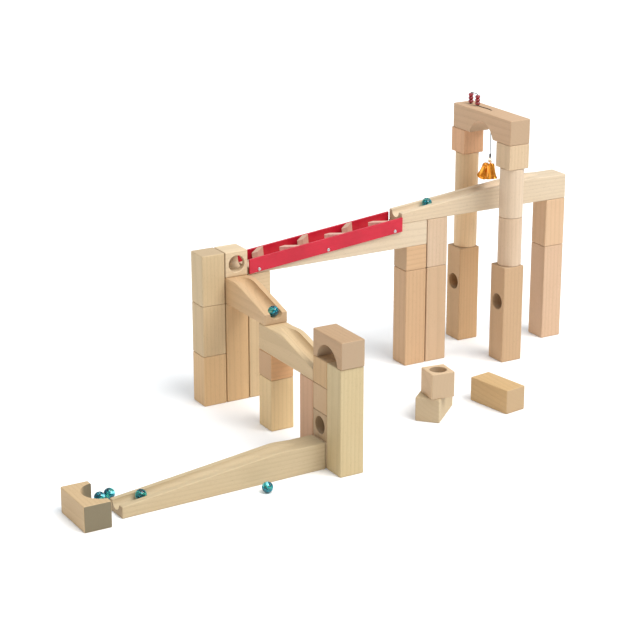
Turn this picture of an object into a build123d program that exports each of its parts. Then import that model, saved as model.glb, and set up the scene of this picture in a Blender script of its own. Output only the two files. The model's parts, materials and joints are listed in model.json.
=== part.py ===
"""Wooden marble run: stacked beech blocks, grooved ramps, a zigzag track, a bell arch and glass marbles.

Millimetres, +Z up.  +X runs up the long ramps, +Y runs from the front tower to the bell tower's back column.
The origin is on the floor, at the middle of the whole set-up's plan.
"""
from build123d import *
from math import atan2, cos, radians, sin, tan
import os

# ---- driving dimensions -------------------------------------------------------------------------------
unit = 40.0                 # height of a cube; posts and ramps come in whole units
side = 38.0                 # width of every block, post and ramp
arris = 1.8                 # rounding of the block edges
column_gap = 0.4            # air between two columns that stand against each other
tower_gap = 1.2             # air between the three columns of the left tower

# ramps
long_ramp = 320.0
short_ramp = 160.0
ramp_low_rim = 17.0         # height of the side walls at the low end
crest_rise = 2.0            # how far the side walls' crest stands above the landing
landing_spare = 0.0         # level stretch at the high end, past the tunnel cube that stands on it
landing = side + landing_spare
crest_run = 30.0            # from the level stretch to the crest
crest_back = landing + crest_run
crest_round = 70.0          # radius of the crest
groove_radius = 10.0
groove_low_floor = 7.0      # wood left under the groove at the low end

# bored cubes and posts
bore_radius = 13.0
bore_lip = 0.8              # chamfer at the mouths
post_hole_height = 100.0    # centre of the side hole in the bell tower's posts

# arches
arch_block_length = 78.0
arch_block_opening = 56.0
arch_block_rise = 25.0
bell_arch_length = 160.0
bell_arch_opening = 65.0
bell_arch_rise = 24.0

# zigzag track
bed_low = 9.5               # height of the sloping bed at its low end
bed_step = 3.5              # from the top of the bed up to the level stretch
zigzag_level = 48.3         # level stretch at the zigzag ramp's high end
panel_thickness = 3.5
panel_height = 23.0
panel_drop = 8.0            # from the bed down to the panel's lower edge
panel_overhang = 2.0        # panel past the low end of the bed
deflector_pitch = 80.0
deflector_width = 11.0      # along the track
deflector_reach = 17.0      # from the panel towards the middle
deflector_rake = 19.0       # how far the tip leans downhill
deflector_count = 3
panel_arris = 0.6
first_far_tip = 15.5        # from the low end of the bed to the first tip
first_near_tip = 61.0
screw_count = 3
screw_pitch = 121.5
first_screw = 14.5
screw_above_edge = 4.2
screw_head_radius = 2.6
screw_head_height = 1.3
screw_shank_radius = 1.4
screw_length = 12.0
screw_dome = 0.9
socket_depth = 0.7          # cross recess: its depth, half its span and half an arm's width
socket_span = 1.4
socket_arm = 0.3

# bells and cord
cord_radius = 0.6
cord_hole_radius = 1.7
ring_above_crest = 37.0     # middle of the bells' ring above the upper ramp's crest
cord_pivot_gap = 0.6        # between the hanging stretch and the stretch above it
knot_radius = 1.7
knot_length = 7.0
ring_radius = 3.2
ring_wire = 0.6
bell_height = 25.0
bell_crown_radius = 5.0
bell_shoulder_radius = 6.3
bell_waist_radius = 6.9
bell_rim_radius = 9.3
bell_wall = 0.9
bell_front_tilt = 11.0      # degrees from hanging straight, towards -Y
bell_rear_tilt = 27.0       # degrees, towards +Y
rear_bell_aside = 10.6      # from the front bell's crown to the rear bell's
rear_bell_lower = 3.5
front_eye_spread = 25.0     # degrees round the ring from its lowest point to the front bell's eye
rear_eye_spread = 45.0      # and to the rear bell's
eye_wire = 0.7
eye_radius = 2.0
clapper_radius = 2.2
clapper_stem_radius = 0.5
clapper_length = 13.5
clapper_air = 0.4
clapper_swing = 13.5        # degrees from the bell's axis to where the ball rests on the wall
bead_radius = 4.3
bead_height = 5.4
bead_bore = 0.9
bead_round = 1.9            # rounding of a bead's rims
cord_link = 1.5             # height of the cord's short run from one stack to the next, above the beads
beads_per_stack = 3
first_bead = 39.0           # from the cord's hole to the first stack
bead_spacing = 19.0

marble_radius = 8.0
marble_air = 0.3            # marbles are modelled this far off what they rest on

# where things stand against each other
zigzag_start = 3.5          # from the corner cube to the zigzag ramp's low end
short_overlap = 20.0        # how much of the lower short ramp the upper one rests on
upper_ramp_gap = 0.1
tower_along = 157.1         # from the upper ramp's low end to the bell tower
bell_tower_shift = -5.0     # the bell arch's middle against the upper ramp's
back_column_out = 4.0       # the back column stands this far out from under the arch
front_arch_shift = 1.8      # front arch block past the front post
catcher_gap = 21.1          # from the floor ramp's low end to the catcher
catcher_aside = 3.2

# ---- plan: where things stand, before the origin is moved to the middle --------------------------------
ramp_crest = unit + crest_rise
bed_high = unit - bed_step
cord_drop = 3 * unit + bell_arch_rise - ramp_crest - ring_above_crest
corner_x = side + tower_gap
inner_x = 2 * (side + tower_gap)
zigzag_x = corner_x + side + zigzag_start
centre_x = zigzag_x + long_ramp - side - column_gap
outer_x = centre_x + side + 1.6
upper_ramp_x = zigzag_x + long_ramp - zigzag_level + upper_ramp_gap
right_x = upper_ramp_x + long_ramp - side
tower_x = upper_ramp_x + tower_along
post_shift = -3.0           # the bell tower's posts stand a little off their columns
front_column_y = side / 2 + bell_tower_shift - bell_arch_length / 2
back_column_y = front_column_y + bell_arch_length - side + back_column_out
step_y = side - short_ramp  # low end of the upper short ramp
lower_short_y = step_y - short_ramp + short_overlap
middle_y = lower_short_y + short_ramp - side
landing_y = lower_short_y
shaft_y = landing_y - column_gap - side
front_y = shaft_y - column_gap - side
front_arch_y = front_y - front_arch_shift
lower_ramp_yaw = 1.85       # degrees, how far the floor ramp is turned
floor_ramp_gap = 1.1        # from the shaft to the middle of the floor ramp's end face
catcher_x = corner_x - floor_ramp_gap - long_ramp - catcher_gap - unit
floor_ramp_low_y = shaft_y + side / 2 - long_ramp * sin(radians(lower_ramp_yaw))
catcher_y = floor_ramp_low_y + catcher_aside - arch_block_length / 2

plan_left, plan_right = catcher_x, upper_ramp_x + long_ramp
plan_front, plan_back = front_arch_y, back_column_y + side
middle = Vector((plan_left + plan_right) / 2, (plan_front + plan_back) / 2, 0)


def at(x, y, z=0.0):
    """A plan position as a point in the part's frame."""
    return Vector(x, y, z) - middle


def stand(x, y, z=0.0, yaw=0.0):
    """A plane at a plan position, turned by yaw degrees about the vertical."""
    a = radians(yaw)
    return Plane(origin=at(x, y, z), x_dir=(cos(a), sin(a), 0), z_dir=(0, 0, 1))


corner = (Align.MIN, Align.MIN, Align.MIN)
pieces = {}


def keep(name, builder):
    builder.part.label = name
    pieces[name] = builder.part


# ---- plain blocks, posts and round columns -------------------------------------------------------------
def block(place, length_x, length_y, height):
    with BuildPart(place) as piece:
        Box(length_x, length_y, height, align=corner)
        fillet(piece.edges(), arris)
    return piece


def column(stack):
    """Stacks square pieces on one spot: stack is (x, y, [(name, first height, height), ...])."""
    x, y, items = stack
    for name, low, height in items:
        keep(name, block(stand(x, y, low), side, side, height))


left_tower = (0, 0, [
    ("left_block_lower", 0, 2 * unit),
    ("left_block_middle", 2 * unit, 2 * unit),
    ("left_block_upper", 4 * unit, 2 * unit)])
corner_column = (corner_x, 0, [("corner_post", 0, 4 * unit)])
inner_column = (inner_x, 0, [("inner_post", 0, 4 * unit), ("inner_cube", 4 * unit, unit)])
middle_column = (corner_x, middle_y, [("middle_block", 0, 2 * unit), ("middle_cube", 2 * unit, unit)])
landing_column = (corner_x, landing_y, [("landing_post", 0, 3 * unit)])
shaft_column = (corner_x, shaft_y, [("base_cube", 0, unit)])
front_column = (corner_x, front_y, [("front_post", 0, 4 * unit)])
centre_inner = (centre_x, 0, [("centre_post_inner", 0, 4 * unit), ("centre_cube", 4 * unit, unit)])
centre_outer = (outer_x, 0, [("centre_post_outer", 0, 4 * unit), ("centre_block", 4 * unit, 2 * unit)])
right_column = (right_x, 0, [("right_post", 0, 4 * unit), ("right_block", 4 * unit, 2 * unit)])
for stack in (left_tower, corner_column, inner_column, middle_column, landing_column, shaft_column,
              front_column, centre_inner, centre_outer, right_column):
    column(stack)


# ---- blocks with bores ---------------------------------------------------------------------------------
def bored(place, height, hub, ways):
    """A block whose bores run from the hub, at the given height, out through the named faces."""
    with BuildPart(place) as piece:
        Box(side, side, height, align=corner)
        fillet(piece.edges(), arris)
        centre = place.from_local_coords(Vector(side / 2, side / 2, hub))
        mouths = {"+x": (place.x_dir, side / 2), "-x": (-place.x_dir, side / 2),
                  "+y": (place.y_dir, side / 2), "-y": (-place.y_dir, side / 2),
                  "+z": (place.z_dir, height - hub), "-z": (-place.z_dir, hub)}
        for way in ways:
            direction, reach = mouths[way]
            with BuildSketch(Plane(origin=centre, z_dir=direction)):
                Circle(bore_radius)
            extrude(amount=reach + 1, mode=Mode.SUBTRACT)
            with BuildSketch(Plane(origin=centre + direction * (reach - bore_lip), z_dir=direction)):
                Circle(bore_radius)
            extrude(amount=2 * bore_lip, taper=-45, mode=Mode.SUBTRACT)
        if len({way[1] for way in ways}) == 2:      # an elbow gets a round corner
            with Locations((side / 2, side / 2, hub)):
                Sphere(bore_radius, mode=Mode.SUBTRACT)
    return piece


cube_hub = unit / 2
keep("corner_tunnel_cube", bored(stand(corner_x, 0, 5 * unit), unit, cube_hub, ("+x", "-y")))
keep("exit_tunnel_cube", bored(stand(corner_x, shaft_y, unit), unit, cube_hub, ("+z", "-x")))
keep("drop_tunnel_cube", bored(stand(corner_x, shaft_y, 2 * unit), unit, cube_hub, ("+z", "-z")))
keep("entry_tunnel_cube", bored(stand(corner_x, shaft_y, 3 * unit), unit, cube_hub, ("+y", "-z")))


# ---- grooved ramps -------------------------------------------------------------------------------------
def groove_slope(length):
    return atan2(unit - groove_low_floor, length - landing)


def groove_line(place, length):
    """The groove's lowest line: its point at the low end, its direction uphill and the way out of the wood."""
    slope = groove_slope(length)
    run = place.x_dir * cos(slope) + Vector(0, 0, 1) * sin(slope)
    rise = Vector(0, 0, 1) * cos(slope) - place.x_dir * sin(slope)
    foot = place.origin + place.y_dir * (side / 2) + Vector(0, 0, 1) * groove_low_floor
    return foot, run, rise


def ramp(place, length):
    """Low end at the place's origin, running uphill along its x axis."""
    face = Plane(origin=place.origin, x_dir=place.x_dir, z_dir=-place.y_dir)
    with BuildPart() as piece:
        with BuildSketch(face):
            with BuildLine():
                Polyline((0, 0), (length, 0), (length, unit), (length - landing, unit),
                         (length - crest_back, ramp_crest), (0, ramp_low_rim), close=True)
            make_face()
            fillet(vertices().filter_by(lambda v: abs(v.X - length + crest_back) < 0.1), crest_round)
        extrude(amount=-side)
        tips = []
        for edge in piece.edges():
            along = (edge.center() - place.origin).dot(place.x_dir)
            crosswise = abs(edge.tangent_at(0.5).dot(place.y_dir)) > 0.99
            if not crosswise or along < 1 or along > length - 1:
                tips.append(edge)
        fillet(tips, arris)
        foot, run, rise = groove_line(place, length)
        before = 20.0
        start = foot + rise * groove_radius - run * before
        with BuildSketch(Plane(origin=start, x_dir=place.y_dir, z_dir=run)):
            Circle(groove_radius)
            Rectangle(2 * groove_radius, 2 * unit, align=(Align.CENTER, Align.MIN))
        extrude(amount=length / cos(groove_slope(length)) + 2 * before, mode=Mode.SUBTRACT)
    return piece


upper_short = stand(corner_x + side, step_y, 4 * unit, yaw=90)
lower_short = stand(corner_x + side, lower_short_y, 3 * unit, yaw=90)
upper_long = stand(upper_ramp_x, 0, 6 * unit)
turn = radians(lower_ramp_yaw)
uphill = Vector(cos(turn), sin(turn), 0)
shaft_face = Vector(corner_x - floor_ramp_gap, shaft_y + side / 2, 0)
low_corner = shaft_face - uphill * long_ramp + Vector(sin(turn), -cos(turn), 0) * (side / 2)
lower_long = stand(low_corner.X, low_corner.Y, 0, lower_ramp_yaw)
keep("ramp_short_upper", ramp(upper_short, short_ramp))
keep("ramp_short_lower", ramp(lower_short, short_ramp))
keep("ramp_long_upper", ramp(upper_long, long_ramp))
keep("ramp_long_lower", ramp(lower_long, long_ramp))


# ---- arch blocks ---------------------------------------------------------------------------------------
def arch(face, length, opening, rise, cord_hole=False):
    """The face's origin is the foot of the first leg; the cut-out is a round arc, open at the bottom."""
    radius = ((opening / 2) ** 2 + rise ** 2) / (2 * rise)
    with BuildPart() as piece:
        with BuildSketch(face):
            Rectangle(length, unit, align=(Align.MIN, Align.MIN))
        extrude(amount=side)
        fillet(piece.edges(), arris)
        with BuildSketch(face):
            with Locations((length / 2, rise - radius)):
                Circle(radius)
        extrude(amount=side, mode=Mode.SUBTRACT)
        if cord_hole:
            top = face.from_local_coords(Vector(length / 2, unit, side / 2))
            with BuildSketch(Plane(origin=top, z_dir=-face.y_dir)):
                Circle(cord_hole_radius)
            extrude(amount=unit, mode=Mode.SUBTRACT)
    return piece


# front arch: legs down, spanning the shaft and the front post
keep("front_arch_block", arch(
    Plane(origin=at(corner_x, front_arch_y, 4 * unit), x_dir=(0, 1, 0), z_dir=(1, 0, 0)),
    arch_block_length, arch_block_opening, arch_block_rise))
# catcher: the same block lying on its side, its cut-out facing the floor ramp
keep("catcher_block", arch(
    Plane(origin=at(catcher_x + unit, catcher_y), x_dir=(0, 1, 0), z_dir=(0, 0, 1)),
    arch_block_length, arch_block_opening, arch_block_rise))


# ---- zigzag track --------------------------------------------------------------------------------------
zigzag_place = stand(zigzag_x, 0, 5 * unit)
bed_length = long_ramp - zigzag_level
bed_slope = atan2(bed_high - bed_low, bed_length)


def bed_at(x):
    return bed_low + x * tan(bed_slope)


def screw_spots(near):
    """Plan x and height of each screw, and the panel face it is driven through."""
    y = -panel_thickness if near else side + panel_thickness
    into = Vector(0, 1, 0) if near else Vector(0, -1, 0)
    for i in range(screw_count):
        x = first_screw + i * screw_pitch
        spot = at(zigzag_x + x, y, 5 * unit + bed_at(x) - panel_drop + screw_above_edge)
        yield spot, into


def drill_for_screws(near):
    for spot, into in screw_spots(near):
        with BuildSketch(Plane(origin=spot, z_dir=into)) as hole:
            Circle(screw_shank_radius)
        extrude(hole.sketch, amount=screw_length, mode=Mode.SUBTRACT)


def zigzag_body():
    with BuildPart() as piece:
        with BuildSketch(Plane(origin=zigzag_place.origin, x_dir=(1, 0, 0), z_dir=(0, -1, 0))):
            with BuildLine():
                Polyline((0, 0), (long_ramp, 0), (long_ramp, unit), (bed_length, unit),
                         (bed_length, bed_high), (0, bed_low), close=True)
            make_face()
        extrude(amount=-side)
        step = [e for e in piece.edges() if abs(e.center().X - zigzag_place.origin.X - bed_length) < 1]
        fillet([e for e in piece.edges() if e not in step], arris)
        drill_for_screws(near=True)
        drill_for_screws(near=False)
    return piece


def zigzag_panel(near):
    """A board with upright ends that follows the bed, on the outside of the zigzag body."""
    y = -panel_thickness if near else side
    low, high = -panel_overhang, bed_length - column_gap
    with BuildPart() as piece:
        with BuildSketch(Plane(origin=at(zigzag_x, y, 5 * unit), x_dir=(1, 0, 0), z_dir=(0, -1, 0))):
            with BuildLine():
                Polyline((low, bed_at(low) - panel_drop), (high, bed_at(high) - panel_drop),
                         (high, bed_at(high) - panel_drop + panel_height),
                         (low, bed_at(low) - panel_drop + panel_height), close=True)
            make_face()
        extrude(amount=-panel_thickness)
        fillet(piece.edges(), panel_arris)
        drill_for_screws(near)
    return piece


def zigzag_deflectors(near):
    """Slanted bars that stand on the bed; each leans downhill from its panel towards the middle."""
    foot = zigzag_place.origin + Vector(0, 0, bed_low)
    run = Vector(cos(bed_slope), 0, sin(bed_slope))
    bed = Plane(origin=foot, x_dir=run, z_dir=(-sin(bed_slope), 0, cos(bed_slope)))
    wall, tip = (0, deflector_reach) if near else (side, side - deflector_reach)
    first = first_near_tip if near else first_far_tip
    with BuildPart() as piece:
        with BuildSketch(bed):
            for i in range(deflector_count):
                t = first + i * deflector_pitch
                with BuildLine():
                    Polyline((t, tip), (t + deflector_width, tip), (t + deflector_rake + deflector_width, wall),
                             (t + deflector_rake, wall), close=True)
                make_face()
        extrude(amount=panel_height - panel_drop)
        fillet(piece.edges().filter_by(lambda e: e.center().dot(bed.z_dir) > foot.dot(bed.z_dir) + 1), panel_arris)
    return piece


def zigzag_screws(near):
    with BuildPart() as piece:
        for spot, into in screw_spots(near):
            out = -into
            with BuildSketch(Plane(origin=spot, z_dir=into)):
                Circle(screw_shank_radius)
            extrude(amount=screw_length)
            with BuildSketch(Plane(origin=spot, z_dir=out)):
                Circle(screw_head_radius)
            extrude(amount=screw_head_height)
        rims = piece.edges().filter_by(GeomType.CIRCLE).filter_by(
            lambda e: abs(e.radius - screw_head_radius) < 0.01)
        outer = max(abs(e.center().Y - at(0, side / 2).Y) for e in rims)
        fillet([e for e in rims if abs(e.center().Y - at(0, side / 2).Y) > outer - 0.1], screw_dome)
        for spot, into in screw_spots(near):
            face = spot - into * (screw_head_height - socket_depth)
            for arms in ((socket_span, socket_arm), (socket_arm, socket_span)):
                with BuildSketch(Plane(origin=face, x_dir=(1, 0, 0), z_dir=-into)):
                    Rectangle(2 * arms[0], 2 * arms[1])
                extrude(amount=screw_head_height, mode=Mode.SUBTRACT)
    return piece


keep("zigzag_ramp", zigzag_body())
for name, near in (("near", True), ("far", False)):
    keep("zigzag_panel_" + name, zigzag_panel(near))
    keep("zigzag_deflectors_" + name, zigzag_deflectors(near))
    keep("zigzag_screws_" + name, zigzag_screws(near))


# ---- bell tower ----------------------------------------------------------------------------------------
def round_column(x, y, z):
    with BuildPart(stand(x + side / 2, y + side / 2, z)) as piece:
        Cylinder(side / 2, 2 * unit, align=(Align.CENTER, Align.CENTER, Align.MIN))
        fillet(piece.edges().filter_by(GeomType.CIRCLE), arris)
    return piece


for name, y in (("front", front_column_y), ("back", back_column_y)):
    keep("bell_post_" + name, bored(stand(tower_x + post_shift, y), 4 * unit, post_hole_height, ("-x", "+z")))
    keep("round_column_lower_" + name, round_column(tower_x, y, 4 * unit))
    keep("round_column_upper_" + name, round_column(tower_x, y, 6 * unit))
    keep("capital_cube_" + name, block(stand(tower_x, y, 8 * unit), side, side, unit))
keep("bell_arch", arch(
    Plane(origin=at(tower_x, front_column_y, 9 * unit), x_dir=(0, 1, 0), z_dir=(1, 0, 0)),
    bell_arch_length, bell_arch_opening, bell_arch_rise, cord_hole=True))


# ---- bells and their cord ------------------------------------------------------------------------------
pivot = at(tower_x + side / 2, front_column_y + bell_arch_length / 2, 9 * unit + bell_arch_rise)
ring_centre = pivot - Vector(0, 0, cord_drop)
arch_top = Vector(pivot.X, pivot.Y, 10 * unit)


def ring_at(degrees_round):
    """A point on the ring's wire, measured from its lowest point towards +Y."""
    a = radians(degrees_round)
    return ring_centre + Vector(0, sin(a), -cos(a)) * ring_radius


def leaning(tilt):
    """The way a bell's axis points down, leaning towards +Y by tilt degrees."""
    a = radians(tilt)
    return Vector(0, sin(a), -cos(a))


def tied_cord():
    """The hanging stretch and the knot that holds the ring."""
    knot_foot = ring_centre.Z + ring_radius
    with BuildPart() as piece:
        with BuildSketch(Plane(origin=(pivot.X, pivot.Y, knot_foot + knot_length / 2))):
            Circle(cord_radius)
        extrude(amount=pivot.Z - cord_pivot_gap - knot_foot - knot_length / 2)
        with BuildSketch(Plane(origin=(pivot.X, pivot.Y, knot_foot))):
            Circle(knot_radius)
        extrude(amount=knot_length)
        ends = piece.edges().filter_by(GeomType.CIRCLE).filter_by(lambda e: e.radius > cord_radius + 0.1)
        fillet(ends, knot_radius * 0.6)
        with Locations(Plane(origin=ring_centre, z_dir=(1, 0, 0))):
            Torus(ring_radius, ring_wire, mode=Mode.SUBTRACT)
    return piece


def wire_ring(centre, axis, radius, wire):
    with BuildPart(Plane(origin=centre, z_dir=axis)) as piece:
        Torus(radius, wire)
    return piece


def bell(eye, crown, tilt):
    """A flared shell hanging from crown, with a wire eye round the ring and a neck between the two."""
    down = leaning(tilt)
    section = Plane(origin=crown, x_dir=(1, 0, 0), z_dir=Vector(1, 0, 0).cross(-down))
    flare = ((bell_shoulder_radius, -bell_height * 0.14), (bell_waist_radius, -bell_height * 0.62),
             (bell_rim_radius, -bell_height))
    bore = [(r - bell_wall, z) for r, z in flare]
    with BuildPart() as piece:
        with BuildSketch(section):
            with BuildLine():
                Line((0, 0), (bell_crown_radius, 0))
                Spline((bell_crown_radius, 0), *flare, tangents=((1, -0.15), (0.75, -1)))
                Line(flare[-1], bore[-1])
                Spline(*reversed(bore), (bell_crown_radius - bell_wall, -bell_wall),
                       tangents=((-0.75, 1), (-1, 0.15)))
                Line((bell_crown_radius - bell_wall, -bell_wall), (0, -bell_wall))
                Line((0, -bell_wall), (0, 0))
            make_face()
        revolve(axis=Axis(crown, -down))
        neck = (crown - eye).normalized()
        with Locations(Plane(origin=eye, z_dir=neck.cross(Vector(1, 0, 0)))):
            Torus(eye_radius, eye_wire)
        neck_start = eye + neck * eye_radius
        with BuildSketch(Plane(origin=neck_start, z_dir=neck)):
            Circle(eye_wire)
        extrude(amount=(crown - neck_start).length)
        with Locations(Plane(crown)):
            Sphere(2 * eye_wire)
    return piece


def clapper(crown, bell_tilt, tilt):
    """A rod and ball hanging from a point on the bell's axis, leaning by its own tilt."""
    hook = crown + leaning(bell_tilt) * (bell_wall + 2 * eye_wire + clapper_air)
    down = leaning(tilt)
    with BuildPart() as piece:
        with BuildSketch(Plane(origin=hook, z_dir=down)):
            Circle(clapper_stem_radius)
        extrude(amount=clapper_length)
        with Locations(Plane(hook + down * clapper_length)):
            Sphere(clapper_radius)
    return piece


front_eye = ring_at(-front_eye_spread)
rear_eye = ring_at(rear_eye_spread)
front_crown = front_eye + leaning(-bell_front_tilt) * (eye_radius + eye_wire)
rear_crown = front_crown + Vector(0, rear_bell_aside, -rear_bell_lower)
keep("bell_cord", tied_cord())
keep("bell_ring", wire_ring(ring_centre, (1, 0, 0), ring_radius, ring_wire))
keep("bell_front", bell(front_eye, front_crown, -bell_front_tilt))
keep("bell_rear", bell(rear_eye, rear_crown, bell_rear_tilt))
keep("clapper_front", clapper(front_crown, -bell_front_tilt, 0.0))
keep("clapper_rear", clapper(rear_crown, bell_rear_tilt, bell_rear_tilt - clapper_swing))

# cord on top of the arch: out of the hole, along the top, up through one stack of beads, over and down the next
lying = 10 * unit + cord_radius + 0.05
bead_foot = 10 * unit + 2 * cord_radius + 0.2
stack_top = bead_foot + beads_per_stack * (bead_height + 0.05)
near_stack = pivot.Y + first_bead
far_stack = near_stack + bead_spacing
cord_route = [
    (pivot.X, pivot.Y, pivot.Z + cord_pivot_gap),
    (pivot.X, pivot.Y, lying),
    (pivot.X + 0.9, pivot.Y + 12, lying),
    (pivot.X - 0.5, pivot.Y + 25, lying),
    (pivot.X, near_stack, lying),
    (pivot.X, near_stack, stack_top + cord_link),
    (pivot.X, far_stack, stack_top + cord_link),
    (pivot.X, far_stack, bead_foot),
]
cord_bends = [1.2, 14.0, 12.0, 1.2, 1.2, 1.2]


def lying_cord():
    with BuildPart() as piece:
        with BuildLine():
            FilletPolyline(*cord_route, radius=cord_bends)
        with BuildSketch(Plane(origin=cord_route[0], z_dir=(0, 0, 1))):
            Circle(cord_radius)
        sweep()
    return piece


def beads():
    with BuildPart() as piece:
        for y in (near_stack, far_stack):
            for i in range(beads_per_stack):
                foot = bead_foot + i * (bead_height + 0.05)
                with BuildSketch(Plane(origin=(pivot.X, y, foot))):
                    Circle(bead_radius)
                    Circle(bead_bore, mode=Mode.SUBTRACT)
                extrude(amount=bead_height)
        fillet(piece.edges().filter_by(GeomType.CIRCLE).filter_by(lambda e: e.radius > bead_bore + 0.1), bead_round)
    return piece


def show(name, point):
    print(name, [round(float(v), 3) for v in point])


show("pivot", pivot)
show("ring centre", ring_centre)
show("front eye", front_eye)
show("rear eye", rear_eye)
show("front crown", front_crown)
show("rear crown", rear_crown)
keep("arch_cord", lying_cord())
keep("cord_beads", beads())
print("arch cord bends:", cord_bends, "hanging cord:", round(cord_drop - ring_radius - cord_pivot_gap, 1))


# ---- marbles -------------------------------------------------------------------------------------------
def marble(centre):
    with BuildPart(Plane(centre)) as piece:
        Sphere(marble_radius)
    return piece


def groove_marble(place, length, up_ramp):
    foot, run, rise = groove_line(place, length)
    return marble(foot + run * up_ramp + rise * (marble_radius + marble_air))


keep("marble_upper_ramp", groove_marble(upper_long, long_ramp, 60.5))
keep("marble_short_ramp", groove_marble(upper_short, short_ramp, 11.0))
keep("marble_floor_ramp", groove_marble(lower_long, long_ramp, 39.0))
low_end_x = corner_x - long_ramp
for name, x, y in (("marble_by_ramp", low_end_x + 12.3, floor_ramp_low_y + side / 2 + 31.7),
                   ("marble_by_catcher", low_end_x - 4.4, floor_ramp_low_y + side / 2 + 26.7),
                   ("marble_in_front", corner_x - 111.5, front_y + marble_radius - 0.2)):
    keep(name, marble(at(x, y, marble_radius)))


# ---- spare blocks lying beside the run -----------------------------------------------------------------
keep("spare_block_under", block(stand(272.3, -236.9, 0, 41.8), 2 * unit, side, side))
keep("spare_tunnel_cube", bored(stand(260.8, -232.4, side, -7.0), unit, cube_hub, ("+z", "-z")))
keep("spare_block_front", block(stand(417.7, -251.6, 0, 98.9), 2 * unit, side, side))

os.makedirs("parts", exist_ok=True)
for name, piece in pieces.items():
    export_step(piece, "parts/" + name + ".step")
print(len(pieces), "pieces")
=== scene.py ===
import bpy, bmesh, json, math, random
from mathutils import Vector, Matrix


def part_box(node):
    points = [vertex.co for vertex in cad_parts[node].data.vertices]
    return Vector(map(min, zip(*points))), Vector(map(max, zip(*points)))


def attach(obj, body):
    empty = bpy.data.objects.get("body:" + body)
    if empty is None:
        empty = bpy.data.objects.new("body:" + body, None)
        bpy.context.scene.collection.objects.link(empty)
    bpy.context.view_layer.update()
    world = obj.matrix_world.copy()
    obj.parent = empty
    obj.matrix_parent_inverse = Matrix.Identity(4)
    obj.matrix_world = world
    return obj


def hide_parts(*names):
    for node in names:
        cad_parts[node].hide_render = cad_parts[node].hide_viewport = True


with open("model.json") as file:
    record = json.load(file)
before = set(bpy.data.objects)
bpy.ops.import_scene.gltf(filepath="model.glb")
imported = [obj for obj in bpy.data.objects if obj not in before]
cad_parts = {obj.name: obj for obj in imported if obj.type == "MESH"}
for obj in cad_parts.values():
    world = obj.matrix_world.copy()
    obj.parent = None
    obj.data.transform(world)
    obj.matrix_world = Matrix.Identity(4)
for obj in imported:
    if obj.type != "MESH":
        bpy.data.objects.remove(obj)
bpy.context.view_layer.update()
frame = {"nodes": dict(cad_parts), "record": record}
nodes = frame["nodes"]
print("frame loaded:", len(nodes), "nodes")


# ---- shader helpers: a socket that can be used in sums, and a material that hands out nodes

class Wire:
    def __init__(self, tree, socket):
        self.tree = tree
        self.socket = socket

    def maths(self, operation, other=None, flip=False):
        node = self.tree.nodes.new("ShaderNodeMath")
        node.operation = operation
        pair = [self] if other is None else [other, self] if flip else [self, other]
        for slot, value in zip(node.inputs, pair):
            if isinstance(value, Wire):
                self.tree.links.new(value.socket, slot)
            else:
                slot.default_value = value
        return Wire(self.tree, node.outputs[0])

    def __add__(self, other):
        return self.maths("ADD", other)

    def __sub__(self, other):
        return self.maths("SUBTRACT", other)

    def __rsub__(self, other):
        return self.maths("SUBTRACT", other, flip=True)

    def __mul__(self, other):
        return self.maths("MULTIPLY", other)

    def __truediv__(self, other):
        return self.maths("DIVIDE", other)

    def __pow__(self, other):
        return self.maths("POWER", other)

    __radd__ = __add__
    __rmul__ = __mul__


class Finish:
    def __init__(self, name):
        self.material = bpy.data.materials.new(name)
        self.material.use_nodes = True
        self.tree = self.material.node_tree
        self.tree.nodes.clear()
        self.surface = self.tree.nodes.new("ShaderNodeBsdfPrincipled")
        self.output = self.tree.nodes.new("ShaderNodeOutputMaterial")
        self.tree.links.new(self.surface.outputs[0], self.output.inputs[0])

    def node(self, kind, settings=None, inputs=None, out=0):
        node = self.tree.nodes.new("ShaderNode" + kind)
        for key, value in (settings or {}).items():
            if key == "stops":
                ramp = node.color_ramp
                while len(ramp.elements) < len(value):
                    ramp.elements.new(0.5)
                for element, (place, colour) in zip(ramp.elements, value):
                    element.position = place
                    element.color = colour if len(colour) == 4 else (*colour, 1)
            else:
                setattr(node, key, value)
        for key, value in (inputs or {}).items():
            slot = node.inputs[key]
            if isinstance(value, Wire):
                self.tree.links.new(value.socket, slot)
            elif isinstance(value, (tuple, list)) and slot.type == "RGBA" and len(value) == 3:
                slot.default_value = (*value, 1)
            else:
                slot.default_value = value
        return Wire(self.tree, node.outputs[out])

    def mix(self, factor, first, second, blend="MIX"):
        return self.node("Mix", {"data_type": "RGBA", "blend_type": blend},
                         {0: factor, 6: first, 7: second}, 2)

    def ramp(self, value, low, high):
        # 0 below low, 1 above high
        return self.node("MapRange", {"interpolation_type": "SMOOTHSTEP"}, {0: value, 1: low, 2: high})

    def noise(self, place, scale, detail=3.0, rough=0.55):
        return self.node("TexNoise", {}, {"Vector": place, "Scale": scale, "Detail": detail,
                                          "Roughness": rough})

    def bump(self, height, distance, strength=1.0):
        return self.node("Bump", {}, {"Strength": strength, "Distance": distance, "Height": height})

    def put(self, **values):
        # Base_Color and the like: an underscore stands for a space
        for key, value in values.items():
            slot = self.surface.inputs[key.replace("_", " ")]
            if isinstance(value, Wire):
                self.tree.links.new(value.socket, slot)
            elif isinstance(value, (tuple, list)) and len(value) == 3 and slot.type == "RGBA":
                slot.default_value = (*value, 1)
            else:
                slot.default_value = value
        return self.material


def mixed(a, b, t):
    return tuple(x + (y - x) * t for x, y in zip(a, b))


# ---- beech: pale, with soft growth rings, short dark flecks along the grain and darker end grain

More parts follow.
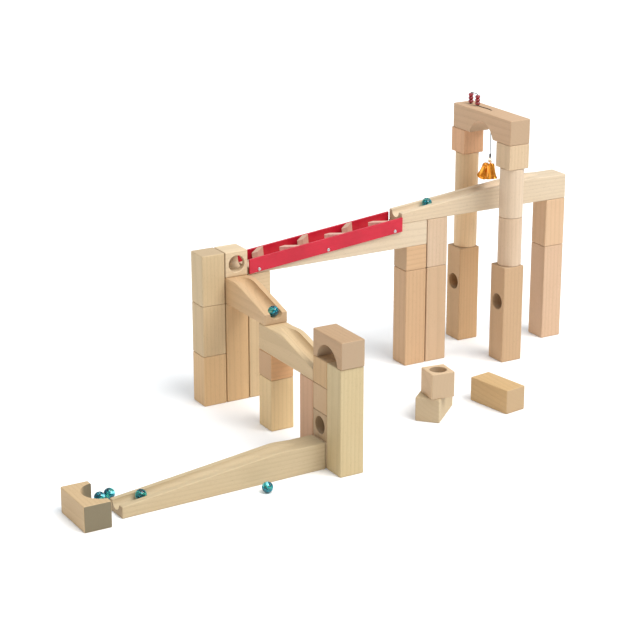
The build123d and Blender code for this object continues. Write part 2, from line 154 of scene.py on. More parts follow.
beech = {
    "pale": (0.62, 0.46, 0.29),
    "warm": (0.56, 0.375, 0.205),
    "latewood": 0.84,         # how dark the ring lines are
    "ringWidth": 0.0062,
    "fleckDark": 0.80,
    "end": (0.55, (0.40, 0.29, 0.19)),    # how much of its own tone the end grain takes
    "roughness": 0.52,
    # how fine each is, across, across and along the grain: the ring lines' wandering, flecks, fibres, clouds
    "sway": (9, 9, 1.6),
    "flecks": (1500, 1500, 260),
    "fibres": (900, 900, 22),
    "clouds": (14, 14, 5),
}
grainTurn = {"z": (0, 0, 0), "x": (0, math.radians(90), 0), "y": (math.radians(90), 0, 0)}


def beechFinish(name, grain, seed, tone=0.0, tint=(1, 1, 1), end=beech["end"], spec=beech):
    # tone runs from -1, paler, to 1, warmer; tint is this block's own hue, and for the deflectors also painted
    # light and shade
    draw = random.Random(seed)
    f = Finish(name)
    place = f.node("TexCoord", {}, {}, 3)
    pith = (draw.uniform(0.05, 0.11), draw.uniform(-0.08, 0.08), draw.uniform(-1, 1))
    upright = f.node("Mapping", {"vector_type": "POINT"}, {
        "Vector": place, "Rotation": grainTurn[grain]})
    local = f.node("VectorMath", {"operation": "ADD"}, {0: upright, 1: (
        draw.uniform(-3, 3), draw.uniform(-3, 3), pith[2])})
    wander = f.node("TexNoise", {}, {"Vector": f.node("Mapping", {}, {"Vector": local, "Scale": spec["sway"]}),
                                     "Scale": 1.0, "Detail": 2.0}, 1)
    drift = f.node("VectorMath", {"operation": "MULTIPLY_ADD"}, {0: wander, 1: (0.02, 0.02, 0), 2: upright})
    centred = f.node("VectorMath", {"operation": "SUBTRACT"}, {0: drift, 1: centreOf(name, grain, pith)})
    flat = f.node("VectorMath", {"operation": "MULTIPLY"}, {0: centred, 1: (1, 1, 0)})
    radius = f.node("VectorMath", {"operation": "LENGTH"}, {0: flat}, 1)
    band = (radius / spec["ringWidth"]).maths("FRACT")
    late = f.ramp(band, 0.45, 0.97) * (1 - f.ramp(band, 0.97, 1.0))
    fleckPlace = f.node("Mapping", {}, {"Vector": local, "Scale": spec["flecks"]})
    fleck = f.ramp(f.noise(fleckPlace, 1.0, 1.0, 0.4), 0.64, 0.74)
    fibrePlace = f.node("Mapping", {}, {"Vector": local, "Scale": spec["fibres"]})
    fibre = f.noise(fibrePlace, 1.0, 3.0, 0.6)
    cloud = f.noise(f.node("Mapping", {}, {"Vector": local, "Scale": spec["clouds"]}), 1.0, 2.0)
    normal = f.node("TexCoord", {}, {}, 1)
    along = {"z": (0, 0, 1), "x": (1, 0, 0), "y": (0, 1, 0)}[grain]
    facing = f.node("VectorMath", {"operation": "DOT_PRODUCT"}, {0: normal, 1: along}, 1).maths("ABSOLUTE")
    endGrain = f.ramp(facing, 0.55, 0.9)
    pale = tuple(c * t for c, t in zip(mixed(spec["pale"], spec["warm"], 0.5 + 0.5 * tone), tint))
    deep = mixed(pale, tuple(c * t for c, t in zip(spec["warm"], tint)), 0.55)
    base = f.mix(f.ramp(cloud, 0.3, 0.7), pale, deep)
    base = f.mix(late * (0.42 - 0.2 * endGrain), base, tuple(c * spec["latewood"] for c in deep), "MIX")
    base = f.mix(fleck * 0.5, base, tuple(c * spec["fleckDark"] * 0.8 for c in deep))
    base = f.mix(f.ramp(fibre, 0.35, 0.7) * 0.16, base, tuple(c * 0.78 for c in deep))
    base = f.mix(endGrain * end[0], base, end[1])
    rough = spec["roughness"] + fibre * 0.14 + endGrain * 0.12
    bumpy = f.bump(fibre * 0.6 + fleck * -0.5 + late * -0.4, 0.00012, 0.5)
    return f.put(Base_Color=base, Roughness=rough, Normal=bumpy, Specular_IOR_Level=0.35)


def centreOf(name, grain, pith):
    # the pith line stands beside the block, in the turned coordinates
    low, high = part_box(name)
    c = (low + high) / 2
    turned = {"z": (c.x, c.y), "x": (c.z, c.y), "y": (c.x, -c.z)}[grain]
    return (turned[0] + pith[0], turned[1] + pith[1], 0)


def paint(name, material):
    piece = nodes[name]
    piece.data.materials.clear()
    piece.data.materials.append(material)


woodGrain = {"ramp_long_upper": "x", "ramp_long_lower": "x", "zigzag_ramp": "x", "ramp_short_upper": "y",
             "ramp_short_lower": "y", "bell_arch": "y", "front_arch_block": "y", "catcher_block": "y",
             "spare_block_under": "x", "spare_block_front": "y", "zigzag_deflectors_near": "z",
             "zigzag_deflectors_far": "z", "spare_tunnel_cube": "y", "corner_tunnel_cube": "x",
             "entry_tunnel_cube": "z", "inner_cube": "x", "centre_cube": "x", "middle_cube": "x"}
# each block came off its own plank: red, green and blue against the common tone. The two deflector rows are
# painted light and shade instead: the near ones paler, the far ones darker.
woodTint = {
    "bell_arch": (0.95, 0.9, 0.95), "bell_post_back": (1.0, 0.9, 0.8), "bell_post_front": (0.9, 0.85, 0.85),
    "capital_cube_back": (1.1, 0.9, 0.85), "capital_cube_front": (1.05, 1.1, 1.2),
    "catcher_block": (0.9, 0.9, 0.85), "centre_block": (1.05, 1.1, 1.3), "centre_cube": (1.0, 0.9, 0.85),
    "centre_post_inner": (0.95, 0.85, 0.8), "centre_post_outer": (1.0, 1.0, 1.1),
    "corner_post": (1.0, 0.95, 0.85), "corner_tunnel_cube": (1.15, 1.3, 1.5),
    "drop_tunnel_cube": (0.85, 0.8, 0.75), "entry_tunnel_cube": (0.9, 0.85, 0.75),
    "exit_tunnel_cube": (0.75, 0.75, 0.75), "front_arch_block": (0.8, 0.75, 0.75),
    "front_post": (0.9, 1.0, 0.95), "inner_cube": (1.1, 1.2, 1.3), "inner_post": (0.95, 1.0, 1.0),
    "landing_post": (0.9, 0.75, 0.75), "left_block_lower": (1.05, 1.0, 0.9),
    "left_block_middle": (0.95, 1.0, 1.0), "left_block_upper": (1.0, 1.1, 1.15),
    "middle_block": (1.15, 1.2, 1.1), "middle_cube": (1.1, 0.9, 0.75), "ramp_long_lower": (0.85, 0.95, 1.0),
    "ramp_long_upper": (1.1, 1.25, 1.5), "ramp_short_lower": (1.0, 1.05, 1.05),
    "ramp_short_upper": (0.95, 0.9, 0.85), "right_block": (1.1, 1.05, 1.1), "right_post": (1.05, 1.0, 1.1),
    "round_column_lower_back": (1.4, 1.45, 1.5), "round_column_lower_front": (1.05, 1.1, 1.3),
    "round_column_upper_back": (1.1, 1.1, 1.1), "round_column_upper_front": (1.1, 1.2, 1.45),
    "spare_block_front": (0.95, 0.9, 0.75), "spare_block_under": (0.95, 1.05, 1.1),
    # painted light and shade: the near deflectors are tinted paler to match their lit tops, the far ones darker
    # to match their shaded sides
    "spare_tunnel_cube": (1.05, 1.1, 1.2), "zigzag_deflectors_far": (0.95, 0.75, 0.95),
    "zigzag_deflectors_near": (1.35, 1.0, 1.4), "zigzag_ramp": (1.1, 1.25, 1.5),
}
# the catcher block's end faces take a flat dark brown at full strength, far darker than the end grain of the
# other blocks
woodEnd = {"catcher_block": (1.0, (0.19, 0.155, 0.095)), "front_arch_block": (0.8, (0.40, 0.29, 0.19))}
woodTone = {"left_block_upper": 0.15, "left_block_middle": -0.2, "left_block_lower": 0.25, "bell_arch": -0.1}
slots = {s["node"]: s["material_slot"] for s in frame["record"]["subparts"]}
for number, name in enumerate(sorted(nodes)):
    if slots[name] in ("beech", "pale_wood"):
        tone = woodTone.get(name, random.Random(number).uniform(-0.5, 0.5))
        if slots[name] == "pale_wood":
            tone = -1.2
        paint(name, beechFinish(name, woodGrain.get(name, "z"), 40 + number, tone,
                                woodTint.get(name, (1, 1, 1)), woodEnd.get(name, beech["end"])))
print("beech finishes made")

# ---- the other finishes

def redLacquer():
    f = Finish("redLacquer")
    place = f.node("TexCoord", {}, {}, 3)
    grain = f.noise(f.node("Mapping", {}, {"Vector": place, "Scale": (25, 900, 700)}), 1.0, 3.0)
    cloud = f.noise(place, 30.0)
    base = f.mix(f.ramp(cloud, 0.3, 0.7), (0.56, 0.010, 0.034), (0.47, 0.007, 0.026))
    base = f.mix(f.ramp(grain, 0.45, 0.7) * 0.25, base, (0.40, 0.006, 0.022))
    return f.put(Base_Color=base, Roughness=0.28 + grain * 0.12, Coat_Weight=0.12, Specular_IOR_Level=0.3,
                 Normal=f.bump(grain, 0.00006, 0.5))


def metal(name, colour, dark, roughness, brush=(400, 400, 60)):
    f = Finish(name)
    place = f.node("TexCoord", {}, {}, 3)
    cloud = f.noise(place, 180.0)
    fine = f.noise(f.node("Mapping", {}, {"Vector": place, "Scale": brush}), 3.0, 3.0)
    base = f.mix(f.ramp(cloud, 0.35, 0.75), colour, dark)
    return f.put(Base_Color=base, Metallic=1.0, Roughness=roughness + fine * 0.08,
                 Normal=f.bump(fine, 0.00002, 0.4))


def beadFinish():
    f = Finish("beadLacquer")
    place = f.node("TexCoord", {}, {}, 3)
    cloud = f.noise(place, 260.0)
    base = f.mix(f.ramp(cloud, 0.3, 0.7), (0.34, 0.006, 0.02), (0.22, 0.003, 0.011))
    return f.put(Base_Color=base, Roughness=0.12 + cloud * 0.08, Coat_Weight=0.8)


def cordFinish():
    f = Finish("braidedCord")
    place = f.node("TexCoord", {}, {}, 3)
    weave = f.noise(place, 2600.0, 2.0)
    base = f.mix(f.ramp(weave, 0.4, 0.65), (0.03, 0.026, 0.026), (0.12, 0.10, 0.10))
    return f.put(Base_Color=base, Roughness=0.75 + weave * 0.15, Normal=f.bump(weave, 0.0002, 0.6))


lacquer = redLacquer()
steel = metal("screwSteel", (0.66, 0.66, 0.67), (0.45, 0.45, 0.46), 0.25)
bellGold = metal("bellGold", (0.95, 0.42, 0.06), (0.80, 0.27, 0.03), 0.16)
wireGold = metal("wireGold", (0.85, 0.60, 0.25), (0.62, 0.40, 0.14), 0.22)
plain = {"red_lacquer": lacquer, "screw_steel": steel, "bell_metal": bellGold, "ring_metal": wireGold,
         "clapper_metal": steel, "bead_red": beadFinish(), "cord": cordFinish()}
for name, slot in slots.items():
    if slot in plain:
        paint(name, plain[slot])
print("other finishes made")

# ---- small parts that repeat: one Geometry Nodes tree puts a shape on a row of points

def meshObject(name, shape, material=None):
    mesh = bpy.data.meshes.new(name)
    shape.to_mesh(mesh)
    shape.free()
    for polygon in mesh.polygons:
        polygon.use_smooth = True
    piece = bpy.data.objects.new(name, mesh)
    bpy.context.scene.collection.objects.link(piece)
    if material:
        mesh.materials.append(material)
    return piece


def lathe(profile, steps, closed=False):
    # profile is (radius, height) from one end to the other, turned about the z axis
    shape = bmesh.new()
    rings = []
    for radius, height in profile:
        if radius < 1e-7:
            rings.append([shape.verts.new((0, 0, height))])
        else:
            rings.append([shape.verts.new((radius * math.cos(2 * math.pi * i / steps),
                                           radius * math.sin(2 * math.pi * i / steps), height))
                          for i in range(steps)])
    pairs = list(zip(rings, rings[1:])) + ([(rings[-1], rings[0])] if closed else [])
    for first, second in pairs:
        for i in range(steps):
            j = (i + 1) % steps
            corners = [first[i % len(first)], first[j % len(first)],
                       second[j % len(second)], second[i % len(second)]]
            corners = [c for n, c in enumerate(corners) if c not in corners[:n]]
            if len(corners) > 2:
                shape.faces.new(corners)
    bmesh.ops.recalc_face_normals(shape, faces=shape.faces)
    return shape


def swept(path, radius, steps, closed=False):
    # a round wire along a list of points
    shape = bmesh.new()
    count = len(path)
    rings = []
    for i, point in enumerate(path):
        before = path[(i - 1) % count] if closed or i else path[0]
        after = path[(i + 1) % count] if closed or i < count - 1 else path[-1]
        along = (after - before).normalized()
        side = along.orthogonal().normalized() if i == 0 else (side - along * side.dot(along)).normalized()
        up = along.cross(side)
        rings.append([shape.verts.new(point + (side * math.cos(2 * math.pi * k / steps)
                                               + up * math.sin(2 * math.pi * k / steps)) * radius)
                      for k in range(steps)])
    pairs = list(zip(rings, rings[1:])) + ([(rings[-1], rings[0])] if closed else [])
    for first, second in pairs:
        turn = 0
        if closed and first is rings[-1]:
            turn = min(range(steps), key=lambda k: (first[0].co - second[k].co).length)
        for k in range(steps):
            shape.faces.new([first[k], first[(k + 1) % steps],
                             second[(k + 1 + turn) % steps], second[(k + turn) % steps]])
    if not closed:
        shape.faces.new(rings[0])
        shape.faces.new(list(reversed(rings[-1])))
    bmesh.ops.recalc_face_normals(shape, faces=shape.faces)
    return shape


def rowTree(name, material):
    # inputs: the shape, the first and last point, how many, the turn of each copy and a random twist
    tree = bpy.data.node_groups.new(name, "GeometryNodeTree")
    face = tree.interface
    face.new_socket("Geometry", in_out="INPUT", socket_type="NodeSocketGeometry")
    wanted = {}
    for label, kind in (("Shape", "NodeSocketObject"),
                        ("Start", "NodeSocketVector"), ("End", "NodeSocketVector"),
                        ("Count", "NodeSocketInt"), ("Turn", "NodeSocketVector"), ("Twist", "NodeSocketFloat"),
                        ("Seed", "NodeSocketInt")):
        wanted[label] = face.new_socket(label, in_out="INPUT", socket_type=kind).identifier
    face.new_socket("Geometry", in_out="OUTPUT", socket_type="NodeSocketGeometry")
    make = lambda kind: tree.nodes.new(kind)
    link = tree.links.new
    given, result = make("NodeGroupInput"), make("NodeGroupOutput")
    line, info = make("GeometryNodeMeshLine"), make("GeometryNodeObjectInfo")
    line.mode = "END_POINTS"
    copies, real, dress = make("GeometryNodeInstanceOnPoints"), make("GeometryNodeRealizeInstances"), make(
        "GeometryNodeSetMaterial")
    dress.inputs["Material"].default_value = material
    spread, euler = make("FunctionNodeRandomValue"), make("ShaderNodeCombineXYZ")
    spread.data_type = "FLOAT"
    negative = make("ShaderNodeMath")
    negative.operation = "MULTIPLY"
    negative.inputs[1].default_value = -1
    link(given.outputs["Start"], line.inputs["Start Location"])
    link(given.outputs["End"], line.inputs["Offset"])
    link(given.outputs["Count"], line.inputs["Count"])
    link(given.outputs["Shape"], info.inputs["Object"])
    link(line.outputs["Mesh"], copies.inputs["Points"])
    link(info.outputs["Geometry"], copies.inputs["Instance"])
    link(given.outputs["Twist"], negative.inputs[0])
    link(negative.outputs[0], spread.inputs[2])
    link(given.outputs["Twist"], spread.inputs[3])
    link(given.outputs["Seed"], spread.inputs["Seed"])
    link(spread.outputs[1], euler.inputs["Z"])
    turnInPlace = make("GeometryNodeRotateInstances")
    link(given.outputs["Turn"], copies.inputs["Rotation"])
    link(copies.outputs["Instances"], turnInPlace.inputs["Instances"])
    link(euler.outputs[0], turnInPlace.inputs["Rotation"])
    link(turnInPlace.outputs["Instances"], real.inputs["Geometry"])
    link(real.outputs["Geometry"], dress.inputs["Geometry"])
    link(dress.outputs["Geometry"], result.inputs["Geometry"])
    return tree, wanted


def row(name, shape, material, start, end, count, turn=(0, 0, 0), twist=0.0, seed=1):
    # the evaluated result becomes a plain mesh, and the modifier goes
    tree, wanted = rowTree(name + "Row", material)
    holder = bpy.data.objects.new(name + "Holder", bpy.data.meshes.new(name + "Holder"))
    bpy.context.scene.collection.objects.link(holder)
    modifier = holder.modifiers.new("row", "NODES")
    modifier.node_group = tree
    values = {"Shape": shape, "Start": start, "End": end, "Count": count,
              "Turn": turn, "Twist": twist, "Seed": seed}
    for label, value in values.items():
        modifier[wanted[label]] = value
    graph = bpy.context.evaluated_depsgraph_get()
    mesh = bpy.data.meshes.new_from_object(holder.evaluated_get(graph))
    piece = bpy.data.objects.new(name, mesh)
    bpy.context.scene.collection.objects.link(piece)
    bpy.data.objects.remove(holder)
    return piece


def joined(name, parts):
    # several plain meshes in one, each keeping its material
    whole = bmesh.new()
    materials = []
    for part in parts:
        for material in part.data.materials:
            if material not in materials:
                materials.append(material)
        first = len(whole.faces)
        whole.from_mesh(part.data)
        whole.faces.ensure_lookup_table()
        places = [materials.index(m) for m in part.data.materials]
        for face in whole.faces[first:]:
            face.material_index = places[face.material_index]
    for part in parts:
        bpy.data.objects.remove(part)
    piece = meshObject(name, whole)
    for material in materials:
        piece.data.materials.append(material)
    return piece

# ---- screws in the red panels: a domed head with a cross recess on a short shank

screws = {"headRadius": 0.0026, "headHeight": 0.0013,
          "slotHalf": 0.0003, "slotReach": 0.00135, "slotDepth": 0.0006,
          "panel": 0.0035, "bedLow": 0.0095, "bedSlope": 0.027 / 0.2717, "twist": 0.7,
          "first": 0.0145, "pitch": 0.1215, "count": 3, "aboveEdge": 0.0042, "drop": 0.008, "steps": 40,
          "shankRadius": 0.0013, "shankLength": 0.0115}


def screwShape(spec=screws):
    rise, reach = spec["headHeight"], spec["headRadius"]
    dome = [(0, rise), (reach * 0.30, rise * 0.99), (reach * 0.55, rise * 0.95), (reach * 0.78, rise * 0.80),
            (reach * 0.93, rise * 0.52), (reach, rise * 0.2), (reach, 0), (spec["shankRadius"], 0)]
    for i in range(12):
        z = -0.0006 - i * 0.0009
        dome += [(spec["shankRadius"], z), (spec["shankRadius"] * 0.8, z - 0.00045)]
    dome += [(0, -spec["shankLength"])]
    head = meshObject("screwBlank", lathe(dome, spec["steps"]))
    cutter = bmesh.new()
    for wide, deep in ((spec["slotReach"], spec["slotHalf"]), (spec["slotHalf"], spec["slotReach"])):
        box = bmesh.ops.create_cube(cutter, size=1)["verts"]
        for vert in box:
            vert.co = Vector((vert.co.x * 2 * wide, vert.co.y * 2 * deep,
                              vert.co.z * 2 * spec["slotDepth"] + rise))
    tool = meshObject("screwCutter", cutter)
    cut = head.modifiers.new("cut", "BOOLEAN")
    cut.object = tool
    cut.solver = "EXACT"
    cut.use_self = True
    graph = bpy.context.evaluated_depsgraph_get()
    mesh = bpy.data.meshes.new_from_object(head.evaluated_get(graph))
    shaped = bpy.data.objects.new("screwShape", mesh)
    bpy.context.scene.collection.objects.link(shaped)
    bpy.data.objects.remove(head)
    bpy.data.objects.remove(tool)
    return shaped


low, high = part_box("zigzag_ramp")
bedStart = Vector((low.x, 0, low.z + screws["bedLow"]))
pattern = screwShape()
for side, y, lean in (("near", low.y - screws["panel"], math.radians(90)),
                      ("far", high.y + screws["panel"], math.radians(-90))):
    ends = [bedStart + Vector((x, y, x * screws["bedSlope"] - screws["drop"] + screws["aboveEdge"]))
            for x in (screws["first"], screws["first"] + screws["pitch"] * (screws["count"] - 1))]
    piece = row("panelScrews_" + side, pattern, steel, ends[0], ends[1], screws["count"],
                (lean, 0, 0), screws["twist"], 3)
    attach(piece, "blocks")
    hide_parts("zigzag_screws_" + side)
bpy.data.objects.remove(pattern)
print("screws made")

# ---- beads on the arch: two short stacks, each bead a rounded drum with a hole

beads = {"radius": 0.0043, "height": 0.0054, "round": 0.0025, "bore": 0.0009,
         "lip": 0.0003, "inset": 0.0004, "steps": 48, "perStack": 3}
low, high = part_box("cord_beads")


def beadShape(spec=beads):
    half, r, e = spec["height"] / 2, spec["radius"], spec["round"]
    bore, lip, inset = spec["bore"], spec["lip"], spec["inset"]
    arc = [(r - e + e * math.sin(a), half - e + e * math.cos(a))
           for a in (math.pi / 2 * i / 8 for i in range(9))]
    outer = [(bore + lip, half - 0.0001)] + arc + [(x, -z) for x, z in reversed(arc)]
    outer += [(bore + lip, -half + 0.0001), (bore, -half + inset), (bore, half - inset)]
    return meshObject("beadShape", lathe(outer, spec["steps"], closed=True))


pattern = beadShape()
stacks = []
for number, y in enumerate((low.y + beads["radius"], high.y - beads["radius"])):
    x = (low.x + high.x) / 2
    first = Vector((x, y, low.z + beads["height"] / 2))
    last = Vector((x, y, high.z - beads["height"] / 2))
    stacks.append(row("beadStack%d" % number, pattern, plain["bead_red"], first, last, beads["perStack"],
                      twist=0.5, seed=number))
bpy.data.objects.remove(pattern)
redBeads = joined("redBeads", stacks)
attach(redBeads, "blocks")
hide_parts("cord_beads")
print("beads made")

# ---- bells: a thin flared shell with a rolled rim, a wire eye and a turned neck

bell = {"height": 0.025, "crown": 0.005, "shoulder": 0.0063, "waist": 0.0069, "rim": 0.0093, "wall": 0.0009,
        "eyeRadius": 0.002, "eyeWire": 0.00045, "steps": 72}


def smoothLine(points, count):
    # Catmull-Rom through the points
    ends = [points[0]] + list(points) + [points[-1]]
    made = []
    for a, b, c, d in zip(ends, ends[1:], ends[2:], ends[3:]):
        for i in range(count):
            t = i / count
            made.append(tuple(0.5 * (2 * q + (r - p) * t + (2 * p - 5 * q + 4 * r - s) * t * t
                                     + (3 * q - p - 3 * r + s) * t ** 3) for p, q, r, s in zip(a, b, c, d)))
    return made + [tuple(points[-1])]


def bellPiece(name, eye, crown, tilt, spec=bell):
    h, wall = spec["height"], spec["wall"]
    outside = smoothLine([(0.0, 0.0), (spec["crown"] * 0.75, -0.0001), (spec["crown"] + 0.0006, -0.0010),
                          (spec["shoulder"], -h * 0.14), (spec["shoulder"] + 0.0001, -h * 0.3),
                          (spec["waist"], -h * 0.62), (spec["waist"] + 0.0011, -h * 0.85),
                          (spec["rim"] - 0.0001, -h * 0.975)], 7)
    rim = [(spec["rim"], -h * 0.985), (spec["rim"] - 0.0001, -h), (spec["rim"] - wall * 0.8, -h),
           (spec["rim"] - wall, -h * 0.985)]
    inside = [(max(r - wall, 0), z - (wall if z > -0.002 else 0)) for r, z in reversed(outside[:-3])]
    shell = meshObject(name + "Shell", lathe([p for p in outside] + rim + inside, spec["steps"]), bellGold)
    # two fine turned lines round the waist and the shoulder
    rings = []
    for depth, radius in ((h * 0.155, spec["shoulder"] + 0.00002), (h * 0.80, spec["waist"] + 0.00072)):
        circle = [Vector((radius * math.cos(t), radius * math.sin(t), -depth))
                  for t in (2 * math.pi * i / 72 for i in range(72))]
        rings.append(meshObject(name + "Line", swept(circle, 0.00022, 8, closed=True), bellGold))
    cap = [(0.0014, 0.0), (0.00135, 0.0004), (0.0011, 0.0008), (0.0008, 0.0012), (0.0007, 0.0018)]
    neck = (eye - crown).normalized()
    knob = meshObject(name + "Knob", lathe([(0, -0.0004), (0.0014, -0.0004)] + cap + [(0, 0.0018)], 32),
                      bellGold)
    down = Vector((0, math.sin(tilt), -math.cos(tilt)))
    lean = (-down).to_track_quat("Z", "Y").to_matrix().to_4x4()
    for part in [shell] + rings:
        part.data.transform(Matrix.Translation(crown) @ lean)
    knob.data.transform(Matrix.Translation(crown) @ neck.to_track_quat("Z", "Y").to_matrix().to_4x4())
    across = Vector((1, 0, 0))
    loop = [eye + (across * math.cos(t) + neck * math.sin(t)) * spec["eyeRadius"]
            for t in (2 * math.pi * i / 40 for i in range(40))]
    eyeWire = meshObject(name + "Eye", swept(loop, spec["eyeWire"], 14, closed=True), wireGold)
    stem = meshObject(name + "Stem", swept([crown, eye - neck * spec["eyeRadius"]], spec["eyeWire"], 14),
                      wireGold)
    piece = joined(name, [shell, knob, eyeWire, stem] + rings)
    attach(piece, bells[name]["node"])
    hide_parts(bells[name]["node"])
    return piece


metre = 0.001
# the wire ring, and the bells and clappers that hang on it: points in millimetres, leans in degrees
ring = {"centre": (363.85, 135.3, 319.0), "radius": 0.0032, "wire": 0.0006}
bells = {"frontBell": {"node": "bell_front", "eye": (363.85, 133.948, 316.1),
                       "crown": (363.85, 133.432, 313.449), "lean": -11},
         "rearBell": {"node": "bell_rear", "eye": (363.85, 137.563, 316.737),
                      "crown": (363.85, 144.032, 309.949), "lean": 27}}
clappers = {"frontClapper": {"node": "clapper_front", "hook": (363.85, 132.917, 310.799), "lean": 0.0},
            "rearClapper": {"node": "clapper_rear", "hook": (363.85, 145.258, 307.543), "lean": 13.5}}
clapperSize = {"ball": 0.0022, "length": 0.0135, "stem": 0.0005}

for name, spec in bells.items():
    bellPiece(name, Vector(spec["eye"]) * metre, Vector(spec["crown"]) * metre, math.radians(spec["lean"]))
circle = [Vector(ring["centre"]) * metre + Vector((0, math.sin(t), math.cos(t))) * ring["radius"]
          for t in (2 * math.pi * i / 48 for i in range(48))]
piece = meshObject("wireRing", swept(circle, ring["wire"], 14, closed=True), wireGold)
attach(piece, "bell_string")
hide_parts("bell_ring")
r, drop, thin = clapperSize["ball"], clapperSize["length"], clapperSize["stem"]
for name, spec in clappers.items():
    ball = [(r * math.sin(t), -drop - r * math.cos(t)) for t in (math.pi * i / 20 for i in range(21))]
    ball = ball[:-2] + [(0.0006, -0.0114), (thin, -0.0106), (thin, -0.0006), (0.00035, -0.0001), (0, 0)]
    piece = meshObject(name, lathe(ball, 32), steel)
    piece.data.transform(Matrix.Translation(Vector(spec["hook"]) * metre)
                         @ Matrix.Rotation(math.radians(spec["lean"]), 4, "X"))
    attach(piece, spec["node"])
    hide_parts(spec["node"])
print("bells made")

# ---- marbles: clear tinted glass with twisted ribbons of colour inside

marble = {"radius": 0.008, "ribbonReach": 0.0066, "ribbonHalf": 0.0058, "twist": 2.4, "blades": 3}


def clearGlass():
    f = Finish("tealGlass")
    place = f.node("TexCoord", {}, {}, 3)
    cloud = f.noise(place, 140.0)
    base = f.mix(f.ramp(cloud, 0.3, 0.7), (0.22, 0.80, 0.90), (0.32, 0.88, 0.95))
    return f.put(Base_Color=base, Roughness=0.015 + cloud * 0.02, Transmission_Weight=1.0, IOR=1.45)


def ribbonFinish(name, first, second):
    f = Finish(name)
    place = f.node("TexCoord", {}, {}, 3)
    streak = f.noise(f.node("Mapping", {}, {"Vector": place, "Scale": (700, 700, 250)}), 1.0, 3.0)
    return f.put(Base_Color=f.mix(f.ramp(streak, 0.35, 0.65), first, second), Roughness=0.4 + streak * 0.1)


glass = clearGlass()
ribbons = [ribbonFinish("tealRibbon", (0.0, 0.30, 0.38), (0.02, 0.50, 0.58)),
           ribbonFinish("darkRibbon", (0.0, 0.10, 0.15), (0.0, 0.22, 0.30)),
           ribbonFinish("aquaRibbon", (0.05, 0.62, 0.66), (0.30, 0.62, 0.34))]


def marblePiece(node, seed, spec=marble):
    draw = random.Random(seed)
    low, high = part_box(node)
    centre = (low + high) / 2
    steps = 40
    r = spec["radius"]
    ballLine = [(r * math.sin(math.pi * i / steps), -r * math.cos(math.pi * i / steps))
                for i in range(steps + 1)]
    ballLine[0], ballLine[-1] = (0, -r), (0, r)
    ball = meshObject(node + "Glass", lathe(ballLine, 64), glass)
    parts = [ball]
    for blade in range(spec["blades"]):
        shape = bmesh.new()
        rows = []
        for i in range(29):
            z = (i / 28 * 2 - 1) * spec["ribbonHalf"]
            reach = math.sqrt(max(spec["ribbonReach"] ** 2 - z * z, 1e-8)) * 0.93
            angle = z / spec["ribbonHalf"] * spec["twist"] + blade * 2 * math.pi / spec["blades"]
            rows.append([[shape.verts.new((reach * s * math.cos(angle + t), reach * s * math.sin(angle + t), z))
                          for s in (0.08, 0.3, 0.52, 0.76, 1.0)] for t in (-0.34, 0.34)])
        for first, second in zip(rows, rows[1:]):
            for k in range(4):
                shape.faces.new([first[0][k], first[0][k + 1], second[0][k + 1], second[0][k]])
                shape.faces.new([first[1][k + 1], first[1][k], second[1][k], second[1][k + 1]])
            shape.faces.new([first[0][4], first[1][4], second[1][4], second[0][4]])
            shape.faces.new([first[1][0], first[0][0], second[0][0], second[1][0]])
        for end in (rows[0], rows[-1]):
            shape.faces.new(end[0] + list(reversed(end[1])))
        bmesh.ops.recalc_face_normals(shape, faces=shape.faces)
        parts.append(meshObject(node + "Ribbon", shape, ribbons[blade]))
    piece = joined(node + "_glass", parts)
    turn = Matrix.Rotation(draw.uniform(0, 6), 4, "Z") @ Matrix.Rotation(draw.uniform(0.3, 1.4), 4, "X") \
        @ Matrix.Rotation(draw.uniform(0, 6), 4, "Z")
    piece.data.transform(Matrix.Translation(centre) @ turn)
    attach(piece, node)
    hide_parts(node)


for number, name in enumerate(n for n in sorted(nodes) if n.startswith("marble")):
    marblePiece(name, 11 + number)
print("marbles made")

# ---- cords: the hanging stretch, and the stretch along the arch through the two bead stacks

def cordCurve(name, points, radius):
    line = bpy.data.curves.new(name, "CURVE")
    line.dimensions = "3D"
    line.bevel_depth = radius
    line.bevel_resolution = 4
    line.resolution_u = 12
    line.use_fill_caps = True
    spline = line.splines.new("NURBS")
    spline.points.add(len(points) - 1)
    for place, point in zip(spline.points, points):
        place.co = (*(c * metre for c in point), 1)
    spline.order_u = 3
    spline.use_endpoint_u = True
    piece = bpy.data.objects.new(name, line)
    bpy.context.scene.collection.objects.link(piece)
    line.materials.append(plain["cord"])
    return piece


cords = {
    "diameter": 0.0012,
    # control points in millimetres, from the hidden end to the knot
    "hanging": [(363.85, 135.3, 383.4), (363.85, 135.3, 352.8), (363.85, 135.3, 322.2)],
    "hangingLength": 0.0612,
    "lying": [(363.85, 135.3, 384.6), (363.85, 135.3, 398.5), (363.85, 135.3, 400.65), (364.75, 147.3, 400.65),
              (363.35, 160.3, 400.65), (363.85, 174.3, 400.65), (363.85, 174.3, 403.4), (363.85, 174.3, 417.7),
              (363.85, 174.3, 419.25), (363.85, 193.3, 419.25), (363.85, 193.3, 417.7), (363.85, 193.3, 401.4)],
    "lyingLength": 0.108,
    "knotTurns": 5, "knotRadius": 0.00112, "knotWire": 0.00058, "knotLow": 0.3228, "knotHigh": 0.3286,
}


def woundKnot(name, x, y, low, high, turns, radius, wire):
    # the cord's own end wound round it in a coil of turns
    count = int(turns * 20)
    coil = [Vector((x + radius * math.cos(t), y + radius * math.sin(t), low + (high - low) * i / count))
            for i, t in ((i, 2 * math.pi * i / 20) for i in range(count + 1))]
    return meshObject(name, swept(coil, wire, 12), plain["cord"])


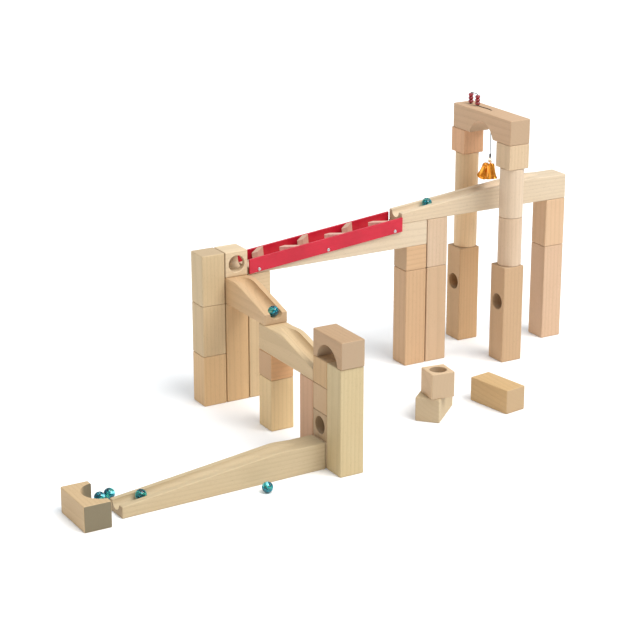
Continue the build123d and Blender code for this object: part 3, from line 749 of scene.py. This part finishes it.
hanging = cordCurve("hangingCord", cords["hanging"], cords["diameter"] / 2)
x, y, top = (c * metre for c in cords["hanging"][0])
knot = woundKnot("bellKnot", x, y, cords["knotLow"], cords["knotHigh"], cords["knotTurns"], cords["knotRadius"],
                 cords["knotWire"])
for piece in (hanging, knot):
    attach(piece, "bell_string")
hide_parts("bell_cord")
lying = cordCurve("lyingCord", cords["lying"], cords["diameter"] / 2)
x, y, foot = (c * metre for c in cords["lying"][-1])
stop = woundKnot("endKnot", x, y, foot - 0.0007, foot - 0.0006, 1.2, 0.0009, 0.00055)
for piece in (lying, stop):
    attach(piece, "blocks")
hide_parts("arch_cord")
print("cords made")

# ---- floor, lights and camera

studio = {
    "floor": 12.0, "floorTone": (0.95, 0.95, 0.95),
    "lamps": {
        "key": {"from": (0.28, -0.52, 0.82), "power": 2.7, "spread": 42.0, "tone": (1.0, 0.985, 0.96)},
        "left": {"from": (-0.9, -0.15, 0.3), "power": 0.42, "spread": 60.0, "tone": (1.0, 0.85, 0.70)},
        "top": {"from": (0.05, 0.1, 1.0), "power": 1.15, "spread": 70.0, "tone": (0.78, 0.90, 1.0)},
    },
    "sky": (0.97, 0.985, 1.0), "skyPower": 0.47,
}
mesh = bpy.data.meshes.new("floor")
half = studio["floor"]
mesh.from_pydata([(-half, -half, 0), (half, -half, 0), (half, half, 0), (-half, half, 0)], [], [(0, 1, 2, 3)])
floor = bpy.data.objects.new("floor", mesh)
bpy.context.scene.collection.objects.link(floor)
f = Finish("floorPaper")
floor.data.materials.append(f.put(Base_Color=studio["floorTone"], Roughness=0.9, Specular_IOR_Level=0.1))
world = bpy.data.worlds.new("studio")
world.use_nodes = True
world.node_tree.nodes["Background"].inputs[0].default_value = (*studio["sky"], 1)
world.node_tree.nodes["Background"].inputs[1].default_value = studio["skyPower"]
bpy.context.scene.world = world
bpy.context.scene.view_settings.view_transform = "Standard"


for name, light in studio["lamps"].items():
    sun = bpy.data.lights.new(name, "SUN")
    sun.energy = light["power"]
    sun.angle = math.radians(light["spread"])
    sun.color = light["tone"]
    lamp = bpy.data.objects.new(name, sun)
    bpy.context.scene.collection.objects.link(lamp)
    lamp.rotation_mode = "QUATERNION"
    lamp.rotation_quaternion = (-Vector(light["from"])).to_track_quat("-Z", "Y")

cameraPlace = {"place": (-1.40885, -2.3669, 1.0836), "azimuth": -30.19, "elevation": 18.76, "focal": 1947.0}
camera = bpy.data.objects.new("camera", bpy.data.cameras.new("camera"))
bpy.context.scene.collection.objects.link(camera)
camera.data.sensor_width = 36.0
camera.data.lens = cameraPlace["focal"] / 640 * 36.0
a, e = math.radians(cameraPlace["azimuth"]), math.radians(cameraPlace["elevation"])
back = Vector((math.sin(a) * math.cos(e), -math.cos(a) * math.cos(e), math.sin(e)))
camera.rotation_mode = "QUATERNION"
camera.location = cameraPlace["place"]
camera.rotation_quaternion = (-back).to_track_quat("-Z", "Y")
camera.data.clip_start = 0.1
camera.data.clip_end = 50
bpy.context.scene.camera = camera
